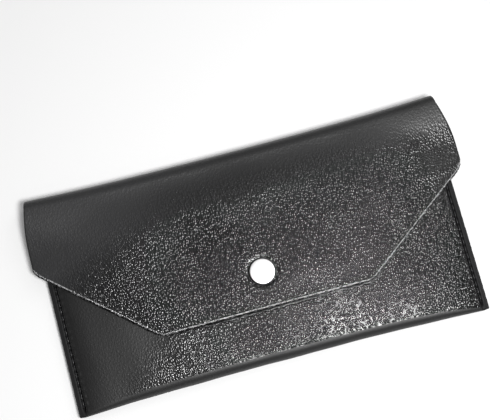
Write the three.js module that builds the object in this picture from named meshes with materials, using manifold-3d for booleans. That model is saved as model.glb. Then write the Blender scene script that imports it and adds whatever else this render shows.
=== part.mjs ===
// Envelope wallet: one folded leather sheet with sewn sides, an open pocket and a snap-down flap.
// Millimetres. X runs along the wallet, Y from the bottom fold to the top fold, Z up from the table.
import * as THREE from "three";
import { mergeVertices } from "three/addons/utils/BufferGeometryUtils.js";
import Module from "manifold-3d";

const wasm = await Module();
wasm.setup();

// Driving sizes of the sheet and the pocket.
const bodyLength = 190; // cut edge to cut edge over the sewn sides
const bodyHeight = 101.6; // bottom fold to top fold, at the corners
const leather = 1.2; // thickness of the sheet
const seamSlit = 0.2; // air left between the two sewn layers
const seamInset = 2.6; // stitch line in from the cut edge
const pocketDepth = 7.2; // clear depth in the middle of the pocket
const bottomDepth = 6.2; // clear depth at the bottom fold
const mouthDepth = 5.4; // clear depth at the mouth
const mouthY = 92; // top edge of the front panel
const puffRise = 0.6; // how far the leather stands up just inside the stitch line
const puffWidth = 2; // over which distance it does so
const edgeLift = 1.5; // how far the sewn edges stand off the table
const flatHalf = 60; // the back panel lies flat on the table up to here from the middle
const bottomPull = 1.75; // the full pocket draws the middle of the bottom fold in
const topPull = 1.7; // and the middle of the top fold
const pullPower = 2.4; // the higher, the further the folds stay drawn in towards the corners
const fullPower = 5; // the higher, the nearer to the seams the pocket keeps its depth

// Driving sizes of the rolled top fold and the flap.
const rollHeight = 10.4; // outside height of the rolled fold above the table
const flapTip = 26; // straight lower edge of the flap, up from the bottom fold
const flapOverhang = 5.7; // how far the flap reaches past the sewn edge at its shoulders
const rollSpread = 2.1; // how far it does where it leaves the rolled fold
const shoulderY = 67.8; // corner between the flap's side and its slanting edge, before rounding
const tipHalf = 48.6; // half the straight lower edge, before rounding
const shoulderRadius = 6.5;
const tipRadius = 8;
const flareEndY = 76; // the flap's sides are full width from here down
const flapClimb = 24; // over which distance the flap rises from the fold to its own level
const flapSideDrop = 6.8; // how far the flap's sides hang below its middle
const dropPower = 2.2; // the higher, the nearer to its sides the flap stays level

// Driving sizes of the snap fastener.
const snapY = 41.9; // centre of the snap above the bottom fold
const snapStack = 3; // from the front panel to the flap while the snap is shut
const seat = 0.15; // clearance of a metal face from the leather it is pressed on
const capRadius = 6.25;
const capHeight = 1.8;
const capCrown = 0.4; // rise of the cap's face inside its rim
const capRim = 0.8; // radius of the cap's rolled rim
const capFace = 5; // radius of the domed face inside the rim
const capGroove = 0.08; // depth of the groove between face and rim
const capShank = 1.5;
const socketRadius = 5.3;
const socketPlate = 0.45;
const socketChamfer = 0.4;
const boreChamfer = 0.3;
const studBase = 4.8;
const studPlate = 0.5;
const studNeck = 1.75;
const studHead = 2.05;
const studHeight = 1.4;
const studWaist = 0.5; // height of the straight neck
const studBulge = 0.9; // height of the head's widest place
const studRound = 0.25; // rounding of the head's top
const studWall = 0.4;
const postFlange = 4.6;
const postPlate = 0.5;
const postChamfer = 0.2;
const runClearance = 0.3; // head of the stud in the socket, all round
const fitClearance = 0.15; // shank in its hole, all round

// Driving sizes of the lockstitched side seams.
const stitchPitch = 3.3;
const threadRadius = 0.25;
const threadSides = 6;
const threadRise = 0.08; // clearance between the thread and the leather that it lies on
const needleHole = 1.3; // length and width of a diamond-shaped stitch hole
const threadTouch = 0.12; // clearance between the two threads where they lock
const seamStart = 4.5; // first stitch above the bottom fold

const sheetJoin = 0.3; // gap between the nodes that the one sheet is divided into

// Steps of the meshes.
const lengthSteps = 26;
const panelSteps = 12;
const foldSteps = 8;
const backSteps = 6;
const rollSteps = 10;
const diagonalSteps = 9;
const flareSteps = 8;
const cornerSteps = 3;
const latheSteps = 24;
const seamCrowding = 1.8; // how much closer together the stations along X are near the seams
const punchOver = 1; // how far a punch reaches past the leather that it cuts

const halfLength = bodyLength / 2;
const seamX = halfLength - seamInset;
const flapHalf = halfLength + flapOverhang;

const smooth = (t) => {
  const c = Math.min(1, Math.max(0, t));
  return c * c * (3 - 2 * c);
};

// Height of the back panel's underside: flat in the middle, lifted towards the sewn edges.
function liftAt(x) {
  const share = Math.max(0, (Math.abs(x) - flatHalf) / (halfLength - flatHalf));
  return edgeLift * Math.min(1, share) ** 2;
}

// The folds are drawn in most in the middle and stay out at the corners.
const pulledIn = (x) => 1 - Math.min(1, Math.abs(x) / halfLength) ** pullPower;

// Clear depth of the pocket: a curve from the bottom fold over the crown to the mouth, closed at the seams.
function depthAt(x, share) {
  const inside = Math.max(0, seamX - Math.abs(x));
  const along = 1 - Math.min(1, Math.abs(x) / seamX) ** fullPower;
  const crown = 2 * pocketDepth - (bottomDepth + mouthDepth) / 2;
  const across =
    bottomDepth * (1 - share) ** 2 + 2 * crown * share * (1 - share) + mouthDepth * share ** 2;
  return seamSlit + (across - puffRise) * along + puffRise * (1 - Math.exp(-inside / puffWidth));
}

const foldRadius = (x) => leather + depthAt(x, 0) / 2;
const foldCentreY = (x) => bottomPull * pulledIn(x) + foldRadius(x);
const frontShare = (x, y) => (y - foldCentreY(x)) / (mouthY - foldCentreY(x));
const frontInside = (x, y) => liftAt(x) + leather + depthAt(x, frontShare(x, y));

const rollRadius = (x) => (rollHeight - liftAt(x)) / 2;
const rollCentreY = (x) => bodyHeight - topPull * pulledIn(x) - rollRadius(x);

// A closed slab between two grids of points, outer and inner, each pointsAt(i, j) over rows and columns.
function slab(rows, columns, outer, inner) {
  const points = [];
  for (const surface of [outer, inner])
    for (let i = 0; i <= rows; i++)
      for (let j = 0; j <= columns; j++) points.push(...surface(i, j));
  const across = columns + 1;
  const second = (rows + 1) * across;
  const at = (side, i, j) => side * second + i * across + j;
  const faces = [];
  const quad = (a, b, c, d) => faces.push(a, c, b, a, d, c);
  for (let i = 0; i < rows; i++)
    for (let j = 0; j < columns; j++) {
      quad(at(0, i, j), at(0, i, j + 1), at(0, i + 1, j + 1), at(0, i + 1, j));
      quad(at(1, i, j), at(1, i + 1, j), at(1, i + 1, j + 1), at(1, i, j + 1));
    }
  for (let i = 0; i < rows; i++) {
    quad(at(0, i, 0), at(0, i + 1, 0), at(1, i + 1, 0), at(1, i, 0));
    quad(at(0, i + 1, columns), at(0, i, columns), at(1, i, columns), at(1, i + 1, columns));
  }
  for (let j = 0; j < columns; j++) {
    quad(at(0, 0, j + 1), at(0, 0, j), at(1, 0, j), at(1, 0, j + 1));
    quad(at(0, rows, j), at(0, rows, j + 1), at(1, rows, j + 1), at(1, rows, j));
  }
  const geometry = new THREE.BufferGeometry();
  geometry.setAttribute("position", new THREE.Float32BufferAttribute(points, 3));
  geometry.setIndex(faces);
  return geometry;
}

// Stations along X, from -1 to 1: closer together towards the seams, one on each stitch line and each edge.
function lengthShare(j) {
  const from = j - lengthSteps / 2;
  const inner = lengthSteps / 2 - 1;
  const share = Math.abs(from) / inner;
  const place = share > 1 ? 1 : (seamX / halfLength) * (1 - (1 - share) ** seamCrowding);
  return Math.sign(from) * place;
}

// Outer or inner face of the sewn pocket, along its U from the mouth round the bottom fold to the top fold.
function pouchPoint(x, step, isOuter) {
  const lift = liftAt(x);
  const depth = isOuter ? leather : 0;
  if (step <= panelSteps) {
    const y = mouthY + (foldCentreY(x) - mouthY) * (step / panelSteps);
    return [x, y, frontInside(x, y) + depth];
  }
  const turned = step - panelSteps;
  if (turned <= foldSteps) {
    const angle = Math.PI / 2 + (Math.PI * turned) / foldSteps;
    const radius = foldRadius(x) - leather + depth;
    const centreZ = lift + foldRadius(x);
    return [x, foldCentreY(x) + radius * Math.cos(angle), centreZ + radius * Math.sin(angle)];
  }
  const share = (turned - foldSteps) / backSteps;
  const endY = rollCentreY(x) - sheetJoin / 2;
  return [x, foldCentreY(x) + (endY - foldCentreY(x)) * share, lift + leather - depth];
}

function pouchGeometry() {
  const rows = panelSteps + foldSteps + backSteps;
  const face = (isOuter) => (i, j) => pouchPoint(halfLength * lengthShare(j), i, isOuter);
  return slab(rows, lengthSteps, face(true), face(false));
}

// The rolled fold: a half round of the same sheet, from the back panel's end up to the flap's start.
function rollGeometry() {
  const face = (depth) => (i, j) => {
    const share = i / rollSteps;
    const angle = Math.PI * (share - 0.5);
    const x = (halfLength + rollSpread * share) * lengthShare(j);
    const radius = rollRadius(x) - leather + depth;
    const centreZ = liftAt(x) + rollRadius(x);
    const startGap = (sheetJoin / 2) * (1 - 2 * share);
    return [x, rollCentreY(x) + startGap + radius * Math.cos(angle), centreZ + radius * Math.sin(angle)];
  };
  return slab(rollSteps, lengthSteps, face(leather), face(0));
}

const flapMiddle = leather * 2 + seamSlit + pocketDepth + snapStack + leather;
const flapStartY = rollCentreY(halfLength) - sheetJoin * 1.5;

// Upper face of the flap: level with the roll at the fold, then over the pocket, lower at the sides.
function flapTop(x, y) {
  const across = Math.min(1, Math.abs(x) / flapHalf) ** dropPower;
  const level = flapMiddle - flapSideDrop * across;
  const climbed = smooth((flapStartY - y) / flapClimb);
  return rollHeight + (level - rollHeight) * climbed;
}

// Rows of the flap as [y, half width], from the fold to the tip: flared side, shoulder, slant, tip corner.
function flapRows() {
  const slant = Math.atan2(shoulderY - flapTip, flapHalf - tipHalf);
  const rows = [];
  const startHalf = halfLength + rollSpread;
  for (let k = 0; k < flareSteps; k++) {
    const share = k / flareSteps;
    const y = flapStartY + (flareEndY - flapStartY) * share;
    rows.push([y, startHalf + (flapHalf - startHalf) * Math.sin((Math.PI / 2) * share)]);
  }
  rows.push([flareEndY, flapHalf]);
  const shoulderTurn = Math.PI / 2 - slant;
  const shoulderReach = shoulderRadius * Math.tan(shoulderTurn / 2);
  for (let k = 0; k <= cornerSteps; k++) {
    const turn = (shoulderTurn * k) / cornerSteps;
    const centreX = flapHalf - shoulderRadius;
    const centreY = shoulderY + shoulderReach;
    rows.push([centreY - shoulderRadius * Math.sin(turn), centreX + shoulderRadius * Math.cos(turn)]);
  }
  const tipReach = tipRadius * Math.tan(slant / 2);
  const slantEnd = [flapTip + tipReach * Math.sin(slant), tipHalf + tipReach * Math.cos(slant)];
  const slantStart = rows[rows.length - 1];
  for (let k = 1; k <= diagonalSteps; k++) {
    const share = k / diagonalSteps;
    rows.push([0, 1].map((n) => slantStart[n] + (slantEnd[n] - slantStart[n]) * share));
  }
  for (let k = 1; k <= cornerSteps; k++) {
    const turn = slant * (1 - k / cornerSteps);
    const centreX = tipHalf - tipReach;
    rows.push([flapTip + tipRadius * (1 - Math.cos(turn)), centreX + tipRadius * Math.sin(turn)]);
  }
  return rows;
}

function flapGeometry() {
  const rows = flapRows();
  const face = (depth) => (i, j) => {
    const [rowY, half] = rows[i];
    const x = half * lengthShare(j);
    const fade = 1 - smooth((flapStartY - rowY) / (flapStartY - flareEndY));
    const y = rowY + (rollCentreY(x) - rollCentreY(halfLength)) * fade;
    return [x, y, flapTop(x, rowY) - leather + depth];
  };
  return slab(rows.length - 1, lengthSteps, face(leather), face(0));
}

function toSolid(geometry) {
  const bare = new THREE.BufferGeometry();
  bare.setAttribute("position", geometry.getAttribute("position"));
  if (geometry.index) bare.setIndex(geometry.index);
  const merged = mergeVertices(bare, 1e-4);
  return new wasm.Manifold(
    new wasm.Mesh({
      numProp: 3,
      vertProperties: new Float32Array(merged.attributes.position.array),
      triVerts: new Uint32Array(merged.index.array),
    }),
  );
}

function toGeometry(solid) {
  const mesh = solid.getMesh();
  const geometry = new THREE.BufferGeometry();
  geometry.setAttribute("position", new THREE.Float32BufferAttribute(mesh.vertProperties, 3));
  geometry.setIndex(new THREE.Uint32BufferAttribute(mesh.triVerts, 1));
  return geometry;
}

// A punched round hole at the snap, from one height to another.
function punch(radius, fromZ, toZ) {
  const tool = new THREE.CylinderGeometry(radius, radius, toZ - fromZ, latheSteps);
  tool.rotateX(Math.PI / 2);
  tool.translate(0, snapY, (fromZ + toZ) / 2);
  return toSolid(tool);
}

// A turned piece of the snap from its profile of [radius, height] points, on the snap's axis.
function turned(profile) {
  const points = profile.map(([radius, height]) => new THREE.Vector2(radius, height));
  const geometry = new THREE.LatheGeometry(points, latheSteps);
  geometry.rotateX(Math.PI / 2);
  geometry.translate(0, snapY, 0);
  return geometry;
}

// Heights through the snap, from the front panel up to the cap.
const frontFace = frontInside(0, snapY) + leather;
const flapUnder = flapTop(0, snapY) - leather;
const studBottom = frontFace + seat;
const studPlateTop = studBottom + studPlate;
const studTop = studPlateTop + studHeight;
const socketTop = flapUnder - seat;
const socketBottom = studPlateTop + seat;
const boreTop = socketTop - socketPlate;
const capUnder = flapTop(0, snapY) + seat;
const postTop = frontInside(0, snapY) - seat;
const postShank = studNeck - studWall - fitClearance;

function capProfile() {
  const rimTop = capUnder + capHeight - capCrown;
  const rim = [-60, -30, 0, 30, 60, 90].map((degrees) => {
    const angle = THREE.MathUtils.degToRad(degrees);
    const squash = (rimTop - capUnder) / (2 * capRim);
    return [
      capRadius - capRim + capRim * Math.cos(angle),
      capUnder + (rimTop - capUnder) / 2 + capRim * Math.sin(angle) * squash,
    ];
  });
  const face = [1, 0.8, 0.6, 0.4, 0.2, 0].map((share) => [
    capFace * share,
    capUnder + capHeight - (capCrown + capGroove) * share ** 2,
  ]);
  return [
    [0, boreTop],
    [capShank, boreTop],
    [capShank, capUnder],
    [capRadius - capRim, capUnder],
    ...rim,
    ...face,
  ];
}

function socketProfile() {
  const bore = studHead + runClearance;
  const hole = capShank + fitClearance;
  return [
    [bore, boreTop],
    [bore, socketBottom + boreChamfer],
    [bore + boreChamfer, socketBottom],
    [socketRadius - socketChamfer, socketBottom],
    [socketRadius, socketBottom + socketChamfer],
    [socketRadius, socketTop],
    [hole, socketTop],
    [hole, boreTop],
    [bore, boreTop],
  ];
}

function studProfile() {
  const hollow = studNeck - studWall;
  return [
    [0, studTop - studWall],
    [hollow, studTop - studWall],
    [hollow, studBottom],
    [studBase, studBottom],
    [studBase, studPlateTop],
    [studNeck, studPlateTop],
    [studNeck, studPlateTop + studWaist],
    [studHead, studPlateTop + studBulge],
    [studHead, studTop - studRound],
    [studHead - studRound, studTop],
    [0, studTop],
  ];
}

function postProfile() {
  return [
    [0, postTop - postPlate],
    [postFlange - postChamfer, postTop - postPlate],
    [postFlange, postTop - postPlate + postChamfer],
    [postFlange, postTop],
    [postShank, postTop],
    [postShank, studTop - studWall - seat],
    [0, studTop - studWall - seat],
  ];
}

// Stitch places along a side seam, from the bottom fold to the mouth.
const stitchCount = Math.floor((mouthY - seamStart - stitchPitch / 2) / stitchPitch);
const stitchY = (k) => seamStart + k * stitchPitch;

// Needle holes of both seams, through both layers, as one tool of slim diamond prisms.
function stitchHoles() {
  const low = -punchOver;
  const high = edgeLift + 2 * leather + seamSlit + puffRise + punchOver;
  const holes = [];
  for (const side of [-1, 1])
    for (let k = 0; k <= stitchCount; k++) {
      const hole = new THREE.CylinderGeometry(needleHole / 2, needleHole / 2, high - low, 4);
      hole.rotateX(Math.PI / 2);
      hole.translate(side * seamX, stitchY(k), (low + high) / 2);
      holes.push(toSolid(hole));
    }
  return wasm.Manifold.union(holes);
}

// One thread of a lockstitched seam: it lies on its face between holes and dips into each to meet the other.
function threadGeometry(side, isNeedle) {
  const x = side * seamX;
  const facing = isNeedle ? 1 : -1;
  const face = liftAt(x) + (isNeedle ? 2 * leather + seamSlit : 0);
  const lying = face + facing * (threadRise + threadRadius);
  const middle = liftAt(x) + leather + seamSlit / 2;
  const locked = middle + facing * (threadRadius + threadTouch / 2);
  const shoulder = needleHole / 4;
  const points = [];
  for (let k = 0; k <= stitchCount; k++) {
    const y = stitchY(k);
    if (k > 0) points.push([x, y - shoulder, lying]);
    points.push([x, y, locked]);
    if (k < stitchCount) points.push([x, y + shoulder, lying]);
  }
  return sweptThread(points);
}

// A thread of six-sided section along points that share one x.
function sweptThread(points) {
  const vertices = [];
  const faces = [];
  points.forEach(([x, y, z], i) => {
    const before = points[Math.max(0, i - 1)];
    const after = points[Math.min(points.length - 1, i + 1)];
    const along = new THREE.Vector2(after[1] - before[1], after[2] - before[2]).normalize();
    for (let k = 0; k < threadSides; k++) {
      const angle = (2 * Math.PI * k) / threadSides;
      const across = threadRadius * Math.sin(angle);
      vertices.push(x + threadRadius * Math.cos(angle), y - along.y * across, z + along.x * across);
    }
  });
  const ring = (i, k) => i * threadSides + (k % threadSides);
  for (let i = 0; i < points.length - 1; i++)
    for (let k = 0; k < threadSides; k++) {
      faces.push(ring(i, k), ring(i + 1, k), ring(i, k + 1));
      faces.push(ring(i, k + 1), ring(i + 1, k), ring(i + 1, k + 1));
    }
  for (let k = 1; k < threadSides - 1; k++) {
    faces.push(ring(0, 0), ring(0, k), ring(0, k + 1));
    const last = points.length - 1;
    faces.push(ring(last, 0), ring(last, k + 1), ring(last, k));
  }
  const geometry = new THREE.BufferGeometry();
  geometry.setAttribute("position", new THREE.Float32BufferAttribute(vertices, 3));
  geometry.setIndex(faces);
  return geometry;
}

const grainedLeather = new THREE.MeshStandardMaterial({ color: 0x24242a, roughness: 0.5 });
const polishedNickel = new THREE.MeshStandardMaterial({
  color: 0xd8d8da,
  roughness: 0.18,
  metalness: 1,
});
const plainNickel = new THREE.MeshStandardMaterial({
  color: 0xb4b4b8,
  roughness: 0.35,
  metalness: 1,
});
const seamThread = new THREE.MeshStandardMaterial({ color: 0x141416, roughness: 0.8 });

function piece(name, geometry, material) {
  const mesh = new THREE.Mesh(geometry, material);
  mesh.name = name;
  return mesh;
}

const frontHole = punch(postShank + fitClearance, postTop - punchOver, frontFace + punchOver);
const flapHole = punch(capShank + fitClearance, flapUnder - punchOver, capUnder + punchOver);
const pouch = toGeometry(toSolid(pouchGeometry()).subtract(frontHole).subtract(stitchHoles()));
const flap = toGeometry(toSolid(flapGeometry()).subtract(flapHole));

const wallet = new THREE.Group();
wallet.position.y = -bodyHeight / 2; // the origin is under the middle of the wallet
wallet.add(
  piece("leather_pouch", pouch, grainedLeather),
  piece("flap_fold", rollGeometry(), grainedLeather),
  piece("leather_flap", flap, grainedLeather),
  piece("snap_cap", turned(capProfile()), polishedNickel),
  piece("snap_socket", turned(socketProfile()), plainNickel),
  piece("snap_stud", turned(studProfile()), plainNickel),
  piece("snap_post", turned(postProfile()), plainNickel),
);
for (const [name, side] of [["left", -1], ["right", 1]]) {
  wallet.add(
    piece(name + "_needle_thread", threadGeometry(side, true), seamThread),
    piece(name + "_bobbin_thread", threadGeometry(side, false), seamThread),
  );
}

export default wallet;
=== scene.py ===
# Envelope wallet of black pebble-grained leather, sewn at its sides, with a snap on its flap.
import math
import bpy
import numpy as np
from mathutils import Matrix, Vector


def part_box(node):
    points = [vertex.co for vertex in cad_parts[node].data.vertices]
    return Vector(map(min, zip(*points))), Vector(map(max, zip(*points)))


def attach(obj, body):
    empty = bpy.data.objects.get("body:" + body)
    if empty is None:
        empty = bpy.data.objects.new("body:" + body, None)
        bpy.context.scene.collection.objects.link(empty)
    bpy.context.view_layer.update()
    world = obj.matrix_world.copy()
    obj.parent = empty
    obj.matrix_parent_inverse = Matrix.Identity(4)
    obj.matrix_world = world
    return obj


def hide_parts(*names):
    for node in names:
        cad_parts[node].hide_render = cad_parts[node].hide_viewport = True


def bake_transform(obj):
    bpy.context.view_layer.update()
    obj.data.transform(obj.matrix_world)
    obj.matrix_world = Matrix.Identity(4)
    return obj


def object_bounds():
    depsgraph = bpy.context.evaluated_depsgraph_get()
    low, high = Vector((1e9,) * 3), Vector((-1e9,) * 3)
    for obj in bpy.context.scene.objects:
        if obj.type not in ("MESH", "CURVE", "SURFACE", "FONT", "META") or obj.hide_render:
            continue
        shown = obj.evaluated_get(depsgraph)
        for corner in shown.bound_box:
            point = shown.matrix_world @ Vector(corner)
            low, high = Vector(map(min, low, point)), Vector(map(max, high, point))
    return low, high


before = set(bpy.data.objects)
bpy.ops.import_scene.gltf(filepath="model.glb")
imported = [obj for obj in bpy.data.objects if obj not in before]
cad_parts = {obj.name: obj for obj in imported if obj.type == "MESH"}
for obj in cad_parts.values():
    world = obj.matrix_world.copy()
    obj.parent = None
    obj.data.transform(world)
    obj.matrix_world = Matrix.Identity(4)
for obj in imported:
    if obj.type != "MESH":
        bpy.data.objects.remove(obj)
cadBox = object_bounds()
mm = 0.001  # the shapes below are worked out in millimetres

# Camera, at the angle of the photograph: over the wallet, a little towards its lower edge, turned on its axis.
photoSize = (490, 420)
view = {
    "place": (-18.7, -64.0, 546.6),  # mm
    "forward": (0.0341, 0.1556, -0.9872),
    "up": (0.2552, 0.9537, 0.1592),
    "focalPixels": 1200,  # focal length, in pixels of the photograph
    "sensor": 36.0,  # mm
    "near": 0.01,  # m
    "far": 20.0,
}


def makeCamera(s):
    data = bpy.data.cameras.new("camera")
    data.sensor_width = s["sensor"]
    data.lens = s["focalPixels"] / photoSize[0] * s["sensor"]
    data.clip_start = s["near"]
    data.clip_end = s["far"]
    camera = bpy.data.objects.new("camera", data)
    forward = Vector(s["forward"]).normalized()
    right = forward.cross(Vector(s["up"])).normalized()
    up = right.cross(forward)
    place = Vector(s["place"]) * mm
    camera.matrix_world = Matrix.Translation(place) @ Matrix((right, up, -forward)).transposed().to_4x4()
    bpy.context.scene.collection.objects.link(camera)
    bpy.context.scene.camera = camera


makeCamera(view)
print("camera made")


# Shader wires: an expression on values adds its Math nodes.
class Wire:
    def __init__(self, finish, socket):
        self.finish = finish
        self.socket = socket

    def math(self, operation, *values):
        return self.finish.node("ShaderNodeMath", {"operation": operation}, values)

    def __add__(self, other):
        return self.math("ADD", self, other)

    def __radd__(self, other):
        return self.math("ADD", other, self)

    def __sub__(self, other):
        return self.math("SUBTRACT", self, other)

    def __rsub__(self, other):
        return self.math("SUBTRACT", other, self)

    def __mul__(self, other):
        return self.math("MULTIPLY", self, other)

    def __rmul__(self, other):
        return self.math("MULTIPLY", other, self)

    def __pow__(self, other):
        return self.math("POWER", self, other)

    def clamp(self):  # kept between 0 and 1
        return self.math("MINIMUM", self.math("MAXIMUM", self, 0.0), 1.0)

    def step(self, low, high):  # smooth step from 0 at low to 1 at high
        return self.finish.node(
            "ShaderNodeMapRange",
            {"interpolation_type": "SMOOTHSTEP", "clamp": True},
            {"Value": self, "From Min": low, "From Max": high, "To Min": 0.0, "To Max": 1.0},
        )


# A material under construction, or the world's nodes where a tree is given.
class Finish:
    def __init__(self, name, tree=None):
        self.material = None
        if tree is None:
            self.material = bpy.data.materials.new(name)
            self.material.use_nodes = True
            tree = self.material.node_tree
        self.tree = tree
        self.tree.nodes.clear()

    # Adds a node: its settings first, then the values or links of its sockets. Returns the wanted output.
    def node(self, kind, settings=None, inputs=(), output=0):
        made = self.tree.nodes.new(kind)
        for name, value in (settings or {}).items():
            setattr(made, name, value)
        pairs = inputs.items() if isinstance(inputs, dict) else enumerate(inputs)
        for key, value in pairs:
            socket = made.inputs[key]
            if isinstance(value, Wire):
                self.tree.links.new(value.socket, socket)
            elif isinstance(value, tuple) and socket.type == "RGBA":
                socket.default_value = (*value, 1)
            else:
                socket.default_value = value
        return Wire(self, made.outputs[output])

    def place(self):  # Object coordinates in millimetres
        where = self.node("ShaderNodeTexCoord", output="Object")
        return self.node("ShaderNodeVectorMath", {"operation": "SCALE"}, {"Vector": where, "Scale": 1 / mm})

    def attribute(self, name):
        return self.node("ShaderNodeAttribute", {"attribute_name": name}, output="Fac")

    def noise(self, where, scale, detail, rough, output=0):
        inputs = {"Vector": where, "Scale": scale, "Detail": detail, "Roughness": rough}
        return self.node("ShaderNodeTexNoise", {}, inputs, output)

    def mix(self, share, a, b):
        return self.node("ShaderNodeMix", {"data_type": "RGBA"}, {0: share, 6: a, 7: b}, output=2)

    def bump(self, height, depth):  # depth in mm for a height of 1
        return self.node("ShaderNodeBump", {}, {"Height": height, "Distance": depth * mm, "Strength": 1.0})

    def surface(self, **sockets):
        named = {name.replace("_", " "): value for name, value in sockets.items()}
        return self.close(self.node("ShaderNodeBsdfPrincipled", {}, named))

    def close(self, shader, kind="ShaderNodeOutputMaterial"):
        out = self.tree.nodes.new(kind)
        self.tree.links.new(shader.socket, out.inputs["Surface"])
        return self.material


# Grained face: low domes of uneven height, parted by creases. It is smooth on the sewn margins and round the folds,
# where the skin is stretched. Painted shade darkens its creases and makes it black in the sewn groove.
grain = {
    "spacing": (0.90, 1.22, 1.08),  # mm from dome to dome, along x, y and z
    "drift": (0.45, 0.45, 0.45),  # mm that the rows of domes wander
    "driftScale": 0.9,  # of the noise, per mm, as every scale below
    "loose": 0.86,  # 0 for even rows, 1 for domes at random
    "height": 0.215,  # mm
    "low": 0.55,  # the lowest dome, as a share of the highest
    "foot": 0.66,  # radius of a dome, as a share of the spacing
    "fine": 0.10,  # fine unevenness, as a share of the height
    "fineScale": 2.4,
    "flattened": 0.9,  # share of the grain that is gone where the skin is plain
    "tint": (0.015, 0.015, 0.016),
    # painted shade: a darker tint in the creases between domes
    "paintedCreaseShade": (0.0015, 0.0015, 0.0015),
    # painted shade: a darker tint for the front, the folds, the roll and the flap's right end
    "marginAndPaintedShade": (0.003, 0.003, 0.003),
    # painted shade: black in the groove of the seam
    "groove": (0.0015, 0.0015, 0.0015),
    # pale fibre of frayed cuts, partly a painted highlight along the edge's rim
    "fibre": (0.38, 0.38, 0.385),
    "speckScale": 1.2,
    "speck": (0.38, 0.54),  # noise at which fibre starts to show, and at which it is whole
    "frayed": (0.28, 0.58),  # the same for the mark of a frayed edge
    "gloss": 0.18,  # roughness on top of a dome
    "dull": 0.04,  # more down in the creases
    "uneven": 0.08,  # more or less from dome to dome
    "cloudy": 0.12,  # more or less over the sheet
    "cloudScale": 0.05,
    "plainDull": 0.34,  # more where the skin is plain
    "grooveDull": 0.4,
    "specular": 0.62,
}


def grainedLeather(s):
    f = Finish("grainedLeather")
    where = f.place()
    drift = f.noise(where, s["driftScale"], 2.0, 0.5, "Color")
    bent = f.node("ShaderNodeVectorMath", {"operation": "MULTIPLY_ADD"}, (drift, s["drift"], where))
    bent = f.node("ShaderNodeVectorMath", {"operation": "DIVIDE"}, (bent, s["spacing"]))
    cells = {"Vector": bent, "Scale": 1.0, "Randomness": s["loose"]}
    away = f.node("ShaderNodeTexVoronoi", {"feature": "F1"}, cells, "Distance")
    each = f.node("ShaderNodeTexVoronoi", {"feature": "F1"}, cells, "Color")
    tall = f.node("ShaderNodeSeparateColor", {}, (each,))
    pip = (1 - (away * (1 / s["foot"])) ** 2.0).clamp()
    fine = f.noise(where, s["fineScale"], 2.0, 0.6)
    cloud = f.noise(where, s["cloudScale"], 3.0, 0.55)
    plain = f.attribute("plain")
    groove = f.attribute("groove")
    grained = 1 - plain * s["flattened"]
    relief = (pip * (s["low"] + (1 - s["low"]) * tall) + fine * s["fine"]) * grained
    # Painted shade: the creases between domes get the darker tint.
    tint = f.mix((1 - pip) * grained, s["tint"], s["paintedCreaseShade"])
    # Painted shade: the darker tint where the sheet turns from the light and under the flap.
    tint = f.mix(f.attribute("marginAndPaintedShade"), tint, s["marginAndPaintedShade"])
    # Painted shade makes the sewn groove black.
    tint = f.mix(groove, tint, s["groove"])
    # Pale fibre specks near frayed cuts, which also stand in for the highlight on the edge's rim: partly painted
    # highlight.
    speck = f.noise(where, s["speckScale"], 3.0, 0.7).step(*s["speck"]) * f.attribute("frayed").step(*s["frayed"])
    tint = f.mix(speck, tint, s["fibre"])
    rough = s["gloss"] + (cloud - 0.5) * s["cloudy"]
    rough = rough + ((1 - pip) * s["dull"] + (tall - 0.5) * s["uneven"]) * grained
    rough = rough + plain * plain * s["plainDull"] + groove * s["grooveDull"]
    normal = f.bump(relief, s["height"])
    return f.surface(Base_Color=tint, Roughness=rough.clamp(), Normal=normal, Specular_IOR_Level=s["specular"])


# Sewn margin: pressed smooth and dyed; painted shade makes it black in the groove of the seam.
dyedMargin = {
    "tint": (0.012, 0.012, 0.0125),
    # painted shade: black in the groove of the seam
    "groove": (0.001, 0.001, 0.001),
    "poreScale": 1.6,
    "poreDepth": 0.06,  # mm
    "rough": 0.42,
    "uneven": 0.12,
    "specular": 0.14,
}


def seamMargin(s):
    f = Finish("seamMargin")
    where = f.place()
    pores = f.noise(where, s["poreScale"], 3.0, 0.6)
    tint = f.mix(f.attribute("groove"), s["tint"], s["groove"])
    rough = s["rough"] + pores * s["uneven"]
    normal = f.bump(pores, s["poreDepth"])
    return f.surface(Base_Color=tint, Roughness=rough, Normal=normal, Specular_IOR_Level=s["specular"])


# Cut edge: stained fibre, with pale specks where it is frayed; the specks are partly a painted highlight along the
# edge's rim.
cutFibre = {
    "tint": (0.004, 0.004, 0.004),
    "pale": (0.35, 0.35, 0.355),
    "speckScale": 0.85,
    "speck": (0.50, 0.66),  # noise at which a speck starts, and at which it is whole
    "fibreScale": 2.6,
    "fibreDepth": 0.15,  # mm
    "rough": 0.7,
    "specular": 0.1,
}


def cutEdge(s):
    f = Finish("cutEdge")
    where = f.place()
    fibre = f.noise(where, s["fibreScale"], 4.0, 0.7)
    speck = f.noise(where, s["speckScale"], 3.0, 0.7).step(*s["speck"]) * f.attribute("frayed")
    tint = f.mix(speck, s["tint"], s["pale"])
    normal = f.bump(fibre, s["fibreDepth"])
    return f.surface(Base_Color=tint, Roughness=s["rough"], Normal=normal, Specular_IOR_Level=s["specular"])


# Flesh side: a fine matt nap with slow clouds.
fleshNap = {
    "tint": (0.022, 0.022, 0.024),
    "pale": (0.036, 0.035, 0.036),
    "cloudScale": 0.09,
    "cloud": (0.3, 0.7),  # noise at which a cloud starts, and at which it is whole
    "napScale": 4.5,
    "napDepth": 0.09,  # mm
    "rough": 0.85,
    "specular": 0.25,
}


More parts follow.
